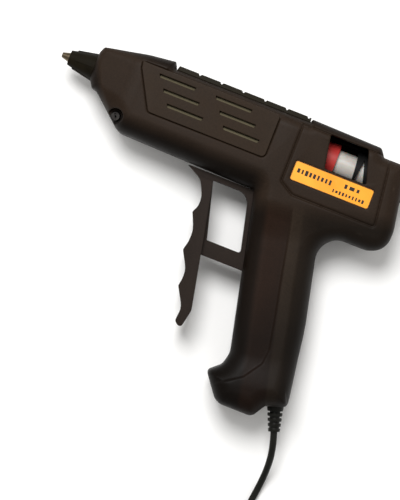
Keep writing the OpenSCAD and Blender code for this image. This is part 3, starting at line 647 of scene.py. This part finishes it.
def halfWidthMap(size, x, y, side):
    # how far the side stands from the split line at each place
    taper = size["noseHalf"] + (x - size["side"][0][0]) * size["noseSlope"]
    soft = size["noseBlend"]
    share = np.clip(0.5 + 0.5 * (taper - halfWidth) / soft, 0, 1)
    width = taper * (1 - share) + halfWidth * share - soft * share * (1 - share) * 0.5
    lean = math.radians(size["gripLean"])
    gx, gy = size["gripTop"]
    along = (y - gy) * math.cos(lean) - (x - gx) * math.sin(lean)
    top = smoothStep(-along, 0, size["gripNarrows"])
    foot = smoothStep(-along, -size["footFrom"], -size["footTo"])
    width = width - size["gripInset"] * top * (1 - foot)
    # sunk side of the grip
    grip = sideOfLine(size["gripEdge"], x, y)
    below = smoothStep(-y, *size["sinkStart"])
    above = smoothStep(size["sinkEnd"] + y, 0, size["sinkEndRun"])
    sunk = smoothStep(-grip, 0, size["sinkRun"]) * below * above
    width = width - size["gripSink"] * sunk
    # fall to the handle's back
    back = sideOfLine(size["backEdge"], x, y)
    fall = np.clip(back, 0, size["backReach"]) * smoothStep(-y, *size["backStart"])
    width = width - size["backFall"] * fall
    # fall of the nose's lower face
    nose = np.clip(-sideOfLine(size["noseEdge"], x, y), 0, size["noseReach"])
    under = smoothStep(size["noseTop"] - y, 0, size["noseTopRun"])
    width = width - size["noseFall"] * nose * under * (x < size["noseEnd"])
    rear = outlineDistance(roundedOutline(size["rearPanel"]), x, y)
    width = width - size["grooveDepth"] * np.exp(-((rear + size["grooveInset"]) / size["grooveHalf"]) ** 2)
    if side > 0:
        film = outlineDistance(roundedOutline(size["label"]), x, y)
        width = width - size["labelSink"] * smoothStep(-film, *size["labelRun"])
    return width


def edgeRadiusMap(size, x, y):
    lower = smoothStep(-y, *size["topToBelly"]) * (1 - smoothStep(x, *size["bellyEnd"]))
    radius = size["topRadius"] + (size["bellyRadius"] - size["topRadius"]) * lower
    handle = smoothStep(-y, *size["bellyToGrip"])
    radius = radius + (size["gripRadius"] - radius) * handle
    return size["noseRadius"] + (radius - size["noseRadius"]) * smoothStep(x, *size["noseToTop"])


def roundMax(a, b, radius):
    # the larger of two distances, with a rounded edge where they meet
    corner = np.hypot(np.maximum(a + radius, 0), np.maximum(b + radius, 0))
    return np.minimum(np.maximum(a, b), -radius) + corner


def cut(field, hole, floor, radius):
    # takes a hole out of the solid down to a floor; both are negative inside the hole
    return roundMax(field, -np.maximum(hole, floor), radius)


def shellField(size, side):
    # distance to one half's surface at every point of a grid, negative in the plastic
    cell = size["cell"]
    xs = np.arange(*size["gridX"], cell, dtype=np.float32)
    ys = np.arange(*size["gridY"], cell, dtype=np.float32)
    zs = np.arange(size["gridBelow"], halfWidth + size["gridAbove"], cell, dtype=np.float32)
    x, y = np.meshgrid(xs, ys, indexing="ij")
    outer = outlineDistance(roundedOutline(size["side"]), x, y)[..., None]
    width = halfWidthMap(size, x, y, side)[..., None]
    radius = edgeRadiusMap(size, x, y)[..., None]
    z = zs[None, None, :]
    flat = z - width + size["skin"]
    solid = roundMax(outer, flat, radius)
    edge = size["cutEdge"]
    hollow = solid + size["wall"]
    for sx, sy, head in size["screws"]:
        boss = size["bossWall"] + (size["leftHead"] if head > 0 else size["rightHead"])
        hollow = np.maximum(hollow, -(np.hypot(x - sx, y - sy)[..., None] - boss))
    field = np.maximum(solid, -hollow)
    for sx, sy, head in size["screws"]:
        away = np.hypot(x - sx, y - sy)[..., None]
        field = np.maximum(field, np.minimum(size["pilot"] - away, -solid - size["pilotCover"]))
        if head == side:
            recess = size["leftHead"] if side > 0 else size["rightHead"]
            field = cut(field, away - recess, size["headDepth"] - z, edge)
    vent = outlineDistance(roundedOutline(size["vent"]), x, y)[..., None]
    field = cut(field, vent, halfWidth - size["pocket"] - z, edge)
    for column in range(2):
        for row, rowY in enumerate(ventSlots["rows"]):
            left = ventSlots["first"] + ventSlots["shift"] * row + ventSlots["pitch"] * column
            across = np.abs(y - rowY) - ventSlots["height"] / 2
            along = np.maximum(left - ventSlots["spare"] - x, x - left - ventSlots["length"])
            slot = np.maximum(across, along)[..., None]
            field = np.maximum(field, -np.maximum(slot, halfWidth - size["ventDepth"] - z))
    if side > 0:
        window = outlineDistance(roundedOutline(size["window"]), x, y)[..., None]
        field = cut(field, window, halfWidth - size["windowDepth"] - z, edge)
    trigger = outlineDistance(roundedOutline(size["triggerSlot"]), x, y)[..., None]
    field = np.maximum(field, np.minimum(-trigger, size["slotHalf"] - z))
    axis = np.hypot(y[..., None], z)
    front = (size["nozzleHoleEnd"] - x)[..., None]
    field = np.maximum(field, np.minimum(size["nozzleHole"] - axis, front))
    rear = (x - size["inletHoleStart"])[..., None]
    field = np.maximum(field, np.minimum(size["inletHole"] - axis, rear))
    lean = math.radians(size["bootLean"])
    bx, by = size["bootSeat"]
    outward = (x - bx) * math.sin(lean) - (y - by) * math.cos(lean)
    sideways = (x - bx) * math.cos(lean) + (y - by) * math.sin(lean)
    hole = np.hypot(sideways[..., None], z)
    inward = (outward + size["bootDepth"])[..., None]
    field = np.maximum(field, np.minimum(size["bootHole"] - hole, inward))
    return np.maximum(field, -z), [xs[0], ys[0], zs[0]]


def shellHalf(size, side):
    # side is 1 for the left half and -1 for the right
    field, start = shellField(size, side)
    grid = openvdb.FloatGrid(10.0)
    grid.copyFromArray(np.ascontiguousarray(field.astype(np.float32)))
    points, triangles, quads = grid.convertToPolygons(isovalue=0.0, adaptivity=0.0)
    corners = np.array(points, np.float64) * size["cell"] + start
    corners[:, 2] *= side
    faces = [tuple(int(v) for v in q) for q in quads] + [tuple(int(v) for v in t) for t in triangles]
    name = "leftShell" if side > 0 else "rightShell"
    mesh = bpy.data.meshes.new(name)
    mesh.from_pydata([at(*p) for p in corners], [], faces)
    bm = bmesh.new()
    bm.from_mesh(mesh)
    bmesh.ops.recalc_face_normals(bm, faces=bm.faces)
    if bm.calc_volume(signed=True) < 0:
        bmesh.ops.reverse_faces(bm, faces=bm.faces)
    bm.to_mesh(mesh)
    bm.free()
    obj = linked(name, mesh)
    count = 2 * len(mesh.polygons)
    if count > size["triangles"]:
        thin = obj.modifiers.new("thin", "DECIMATE")
        thin.ratio = size["triangles"] / count
        settle(obj)
    obj.data.shade_smooth()
    stand(obj, "housing_left" if side > 0 else "housing_right")
    print(name, count, "before,", len(obj.data.polygons), "faces")


shellHalf(shell, 1)
shellHalf(shell, -1)

softened = {
    # CAD node: the finished piece's name, edge radius in mm
    "vent_panel_left": ("leftVentPanel", 0.3),
    "vent_panel_right": ("rightVentPanel", 0.3),
    "top_guard": ("topGuard", 0.7),
    "trigger": ("fingerTrigger", 0.8),
    "nozzle_cover": ("nozzleCover", 0.25),
    "strain_relief": ("cordBoot", 0.3),
    "plug_body": ("plugBody", 1.2),
    "cord_tie": ("coilStrap", 0.3),
}
for node, (name, radius) in softened.items():
    piece = mergedCopy(node, name)
    soften(piece, radius)
    smoothShade(piece)
    stand(piece, node)
    print(name, len(piece.data.polygons), "faces")

makeCord(cord)


# repeated pieces, grown by node trees that work in the gun's own millimetres
def nodeGroup(name, sizes):
    tree = bpy.data.node_groups.new(name, "GeometryNodeTree")
    tree.interface.new_socket("Geometry", in_out="OUTPUT", socket_type="NodeSocketGeometry")
    tree.interface.new_socket("Geometry", in_out="INPUT", socket_type="NodeSocketGeometry")
    for key, value in sizes.items():
        kind = "NodeSocketInt" if isinstance(value, int) else "NodeSocketFloat"
        tree.interface.new_socket(key, in_out="INPUT", socket_type=kind)
    entry = tree.nodes.new("NodeGroupInput")
    return tree, {socket.name: socket for socket in entry.outputs}


def add(tree, kind, values=None, output=0, **settings):
    node = tree.nodes.new(kind)
    for key, value in settings.items():
        setattr(node, key, value)
    for key, value in (values or {}).items():
        for one in value if isinstance(value, list) else [value]:
            if isinstance(one, bpy.types.NodeSocket):
                tree.links.new(one, node.inputs[key])
            else:
                node.inputs[key].default_value = one
    return node.outputs[output]


def maths(tree, operation, a, b):
    return add(tree, "ShaderNodeMath", {0: a, 1: b}, operation=operation)


def vector(tree, x=0.0, y=0.0, z=0.0):
    return add(tree, "ShaderNodeCombineXYZ", {"X": x, "Y": y, "Z": z})


def moved(tree, geometry, shift, turn=(0, 0, 0), scale=(1, 1, 1)):
    return add(tree, "GeometryNodeTransform",
               {"Geometry": geometry, "Translation": shift, "Rotation": turn, "Scale": scale})


def finishTree(tree, geometry, material, smooth=False):
    whole = add(tree, "GeometryNodeRealizeInstances", {"Geometry": geometry})
    if smooth:
        whole = add(tree, "GeometryNodeSetShadeSmooth", {"Geometry": whole})
    whole = moved(tree, whole, at(0, 0, 0), scale=(mm, mm, mm))
    painted = add(tree, "GeometryNodeSetMaterial", {"Geometry": whole, "Material": material})
    tree.links.new(painted, tree.nodes.new("NodeGroupOutput").inputs[0])


def grow(name, tree, sizes, mesh=None):
    obj = linked(name, mesh or bpy.data.meshes.new(name))
    modifier = obj.modifiers.new(name, "NODES")
    modifier.node_group = tree
    for item in tree.interface.items_tree:
        if item.in_out == "INPUT" and item.name in sizes:
            modifier[item.identifier] = sizes[item.name]
    settle(obj)
    return obj


screwSizes = {"Head radius": 3.0, "Head height": 2.2, "Shaft radius": 1.32, "Shaft length": 17.0,
              "Cross width": 0.9, "Cross length": 3.8, "Thread radius": 0.2, "Thread turns": 13.0}
screwSeat = 10.0    # height of the head's underside over the split line
screwShape = {
    "domeFrom": 0.4, "domeTop": 0.78,   # share of the head's height where it narrows, and by how much
    "shaftShift": -0.499,               # shaft's middle, as a share of its length
    "threadShare": 0.85, "threadShift": -0.97,
}


def screwTree(sizes, material):
    tree, use = nodeGroup("crossHeadScrews", sizes)
    radius, height, length = use["Head radius"], use["Head height"], use["Shaft length"]
    blank = add(tree, "GeometryNodeMeshCylinder",
                {"Vertices": 40, "Side Segments": 3, "Radius": radius, "Depth": height})
    place = add(tree, "GeometryNodeInputPosition")
    level = add(tree, "ShaderNodeSeparateXYZ", {"Vector": place}, output=2)
    top = maths(tree, "GREATER_THAN", level, maths(tree, "MULTIPLY", height, screwShape["domeFrom"]))
    dome = (screwShape["domeTop"], screwShape["domeTop"], 1)
    narrower = add(tree, "ShaderNodeVectorMath", {0: place, 1: dome}, operation="MULTIPLY")
    blank = add(tree, "GeometryNodeSetPosition",
                {"Geometry": blank, "Selection": top, "Position": narrower})
    blank = moved(tree, blank, vector(tree, z=maths(tree, "MULTIPLY", height, 0.5)))
    arm, width = use["Cross length"], use["Cross width"]
    bars = [add(tree, "GeometryNodeMeshCube", {"Size": vector(tree, *pair, height)})
            for pair in ((arm, width), (width, arm))]
    cross = moved(tree, add(tree, "GeometryNodeJoinGeometry", {"Geometry": bars}), vector(tree, z=height))
    head = add(tree, "GeometryNodeMeshBoolean", {"Mesh 1": blank, "Mesh 2": cross}, operation="DIFFERENCE")
    shaft = add(tree, "GeometryNodeMeshCylinder",
                {"Vertices": 24, "Radius": use["Shaft radius"], "Depth": length})
    shaft = moved(tree, shaft, vector(tree, z=maths(tree, "MULTIPLY", length, screwShape["shaftShift"])))
    threadLength = maths(tree, "MULTIPLY", length, screwShape["threadShare"])
    spiral = add(tree, "GeometryNodeCurveSpiral",
                 {"Resolution": 18, "Rotations": use["Thread turns"], "Start Radius": use["Shaft radius"],
                  "End Radius": use["Shaft radius"], "Height": threadLength})
    profile = add(tree, "GeometryNodeCurvePrimitiveCircle",
                  {"Resolution": 5, "Radius": use["Thread radius"]})
    thread = add(tree, "GeometryNodeCurveToMesh",
                 {"Curve": spiral, "Profile Curve": profile, "Fill Caps": True})
    thread = moved(tree, thread, vector(tree, z=maths(tree, "MULTIPLY", length, screwShape["threadShift"])))
    screw = add(tree, "GeometryNodeJoinGeometry", {"Geometry": [head, shaft, thread]})
    turn = add(tree, "GeometryNodeInputNamedAttribute", {"Name": "turn"}, data_type="FLOAT_VECTOR")
    rotation = add(tree, "FunctionNodeEulerToRotation", {"Euler": turn})
    screws = add(tree, "GeometryNodeInstanceOnPoints",
                 {"Points": use["Geometry"], "Instance": screw, "Rotation": rotation})
    finishTree(tree, screws, material)
    return tree


def makeScrews(firstTurn=0.4):
    # each cross is turned by its own amount, and heads on the right face the other way
    mesh = bpy.data.meshes.new("screwPlaces")
    mesh.from_pydata([(x, y, screwSeat * side) for x, y, side in shell["screws"]], [], [])
    turns = mesh.attributes.new("turn", "FLOAT_VECTOR", "POINT")
    for item, (x, y, side) in zip(turns.data, shell["screws"]):
        item.vector = (0 if side > 0 else math.pi, 0, firstTurn + x)
    obj = grow("housingScrews", screwTree(screwSizes, finishes["screw"]), screwSizes, mesh)
    smoothShade(obj)
    stand(obj, "housing_screws", finish=finishes["screw"])
    print("screws", len(obj.data.polygons), "faces")


springLow, springHigh = [(corner - at(0, 0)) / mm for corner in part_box("trigger_spring")]
springGap = 0.5         # left at each end
springSizes = {
    "Turns": 7.0, "Radius": 3.3, "Wire": 0.45,
    "Length": springHigh.x - springLow.x - 2 * springGap,
    "Front": springLow.x + springGap,
    "Height": (springLow.y + springHigh.y) / 2,
}


def springTree(sizes, material):
    tree, use = nodeGroup("coilSpring", sizes)
    coil = add(tree, "GeometryNodeCurveSpiral",
               {"Resolution": 28, "Rotations": use["Turns"], "Start Radius": use["Radius"],
                "End Radius": use["Radius"], "Height": use["Length"]})
    wire = add(tree, "GeometryNodeCurvePrimitiveCircle", {"Resolution": 8, "Radius": use["Wire"]})
    spring = add(tree, "GeometryNodeCurveToMesh", {"Curve": coil, "Profile Curve": wire, "Fill Caps": True})
    spring = moved(tree, spring, vector(tree, use["Front"], use["Height"]), (0, math.pi / 2, 0))
    finishTree(tree, spring, material, smooth=True)
    return tree


def makeSpring():
    obj = grow("returnSpring", springTree(springSizes, finishes["steel"]), springSizes)
    stand(obj, "trigger_spring")
    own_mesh(obj)
    print("spring", len(obj.data.polygons), "faces")


louvreSizes = {"Rows": 3, "Columns": 2, "First": ventSlots["first"], "Shift": ventSlots["shift"],
               "Pitch": ventSlots["pitch"], "Top row": ventSlots["rows"][0], "Row gap": 7.25,
               "Length": 22.0, "Run": 4.2, "Thickness": 0.5, "Lean": math.radians(45), "Height": 17.6}
louvreMiddle = 0.49     # a blade's middle from its slot's start, as a share of its length


def louvreTree(sizes, material):
    # sloping blades behind the slots, on both sides of the gun
    tree, use = nodeGroup("ventLouvres", sizes)
    blade = add(tree, "GeometryNodeMeshCube",
                {"Size": vector(tree, use["Length"], use["Thickness"], use["Run"])})
    middle = maths(tree, "MULTIPLY", use["Length"], louvreMiddle)
    blade = moved(tree, blade, vector(tree, x=middle, z=use["Height"]), vector(tree, x=use["Lean"]))
    rowStep = vector(tree, use["Shift"], maths(tree, "MULTIPLY", use["Row gap"], -1.0))
    rows = add(tree, "GeometryNodeMeshLine", {"Count": use["Rows"], "Offset": rowStep,
                                              "Start Location": vector(tree, use["First"], use["Top row"])})
    column = add(tree, "GeometryNodeInstanceOnPoints", {"Points": rows, "Instance": blade})
    columns = add(tree, "GeometryNodeMeshLine",
                  {"Count": use["Columns"], "Offset": vector(tree, use["Pitch"])})
    left = add(tree, "GeometryNodeInstanceOnPoints", {"Points": columns, "Instance": column})
    left = add(tree, "GeometryNodeRealizeInstances", {"Geometry": left})
    right = add(tree, "GeometryNodeFlipFaces", {"Mesh": moved(tree, left, (0, 0, 0), scale=(1, 1, -1))})
    finishTree(tree, add(tree, "GeometryNodeJoinGeometry", {"Geometry": [left, right]}), material)
    return tree


def extraPiece(obj):
    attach(obj, "gun")
    print(obj.name, len(obj.data.polygons), "faces")


makeScrews()
makeSpring()
extraPiece(grow("ventLouvres", louvreTree(louvreSizes, finishes["louvre"]), louvreSizes))

# label: a film with a dark rim of painted shadow along its recess edge, and rows of plain marks
label = {
    "low": 19.5, "high": 19.88, "ink": 0.06,
    "plate": 0.12,            # how far the film stands inside its recess
    "edge": 0.08,             # the film's edge radius
    "rim": (0.18, 0.42),      # how far in the dark line of painted shadow runs, outer and inner edge
    "least": (0.45, 0.6, 1),  # smallest share of its full width, height and depth that a mark has
    # rows of marks: count, pitch, width, height, first place and seed
    "rows": [(9, 2.4, 2.0, 3.6, 151.6, -13.4, 3), (10, 2.0, 1.6, 2.2, 174.0, -16.9, 8),
             (3, 3.7, 3.0, 2.9, 180.0, -12.2, 5)],
}


def inset(points, amount, leastRadius=0.3):
    # an upright rectangle's outline, drawn in on every side
    left = min(p[0] for p in points)
    bottom = min(p[1] for p in points)
    corners = []
    for x, y, radius in points:
        x += amount if x == left else -amount
        y += amount if y == bottom else -amount
        corners.append((x, y, max(radius - amount, leastRadius)))
    return roundedOutline(corners, 10)


def ringMesh(name, outer, inner, low, high):
    count = len(outer)
    edges = ((outer, high), (inner, high), (inner, low), (outer, low))
    corners = [at(x, y, z) for line, z in edges for x, y in line]
    faces = []
    for i in range(count):
        j = (i + 1) % count
        for k in range(4):
            a, b = k * count, (k + 1) % 4 * count
            faces.append((a + i, b + i, b + j, a + j))
    mesh = bpy.data.meshes.new(name)
    mesh.from_pydata(corners, [], faces)
    return mesh


def prismMesh(name, outline, low, high):
    count = len(outline)
    corners = [at(x, y, z) for z in (low, high) for x, y in outline]
    faces = [tuple(range(count)), tuple(range(count, 2 * count))]
    faces += [(i, (i + 1) % count, (i + 1) % count + count, i + count) for i in range(count)]
    mesh = bpy.data.meshes.new(name)
    mesh.from_pydata(corners, [], faces)
    return mesh


def outwards(mesh):
    bm = bmesh.new()
    bm.from_mesh(mesh)
    bmesh.ops.recalc_face_normals(bm, faces=bm.faces)
    bm.to_mesh(mesh)
    bm.free()
    return mesh


def markTree(sizes, material):
    tree, use = nodeGroup("labelMarks", sizes)
    line = add(tree, "GeometryNodeMeshLine",
               {"Count": use["Count"], "Offset": vector(tree, use["Pitch"]),
                "Start Location": vector(tree, use["First X"], use["First Y"], use["Level"])})
    mark = add(tree, "GeometryNodeMeshCube",
               {"Size": vector(tree, use["Width"], use["Height"], use["Ink"])})
    share = add(tree, "FunctionNodeRandomValue",
                {"Min": label["least"], "Max": (1, 1, 1), "Seed": use["Seed"]}, data_type="FLOAT_VECTOR")
    marks = add(tree, "GeometryNodeInstanceOnPoints", {"Points": line, "Instance": mark, "Scale": share})
    finishTree(tree, marks, material)
    return tree


def makeLabel(size):
    plate = inset(shell["label"], size["plate"])
    film = linked("labelFilm", outwards(prismMesh("labelFilm", plate, size["low"], size["high"])))
    soften(film, size["edge"])
    smoothShade(film)
    stand(film, "label")
    level = size["high"]
    # each row gives its own, but for ink and level
    sizes = {"Count": 1, "Pitch": 1.0, "Width": 1.0, "Height": 1.0, "Ink": size["ink"], "Level": level,
             "First X": 0.0, "First Y": 0.0, "Seed": 1}
    tree = markTree(sizes, inkAndShadowFinish)
    # the dark rim is a painted shadow along the recess edge, in the ink's material
    outer, inner = (inset(shell["label"], amount) for amount in size["rim"])
    rim = outwards(ringMesh("labelEdgeShadow", outer, inner, level - size["ink"] / 2, level + size["ink"] / 2))
    whole = bmesh.new()
    whole.from_mesh(rim)
    for count, pitch, width, height, x, y, seed in size["rows"]:
        sizes.update({"Count": count, "Pitch": pitch, "Width": width, "Height": height, "First X": x,
                      "First Y": y, "Seed": seed})
        row = grow("labelMarks", tree, sizes)
        whole.from_mesh(row.data)
        bpy.data.objects.remove(row)
    whole.to_mesh(rim)
    whole.free()
    ink = linked("labelInkAndShadow", rim)
    rim.materials.clear()
    rim.materials.append(inkAndShadowFinish)
    extraPiece(ink)


makeLabel(label)
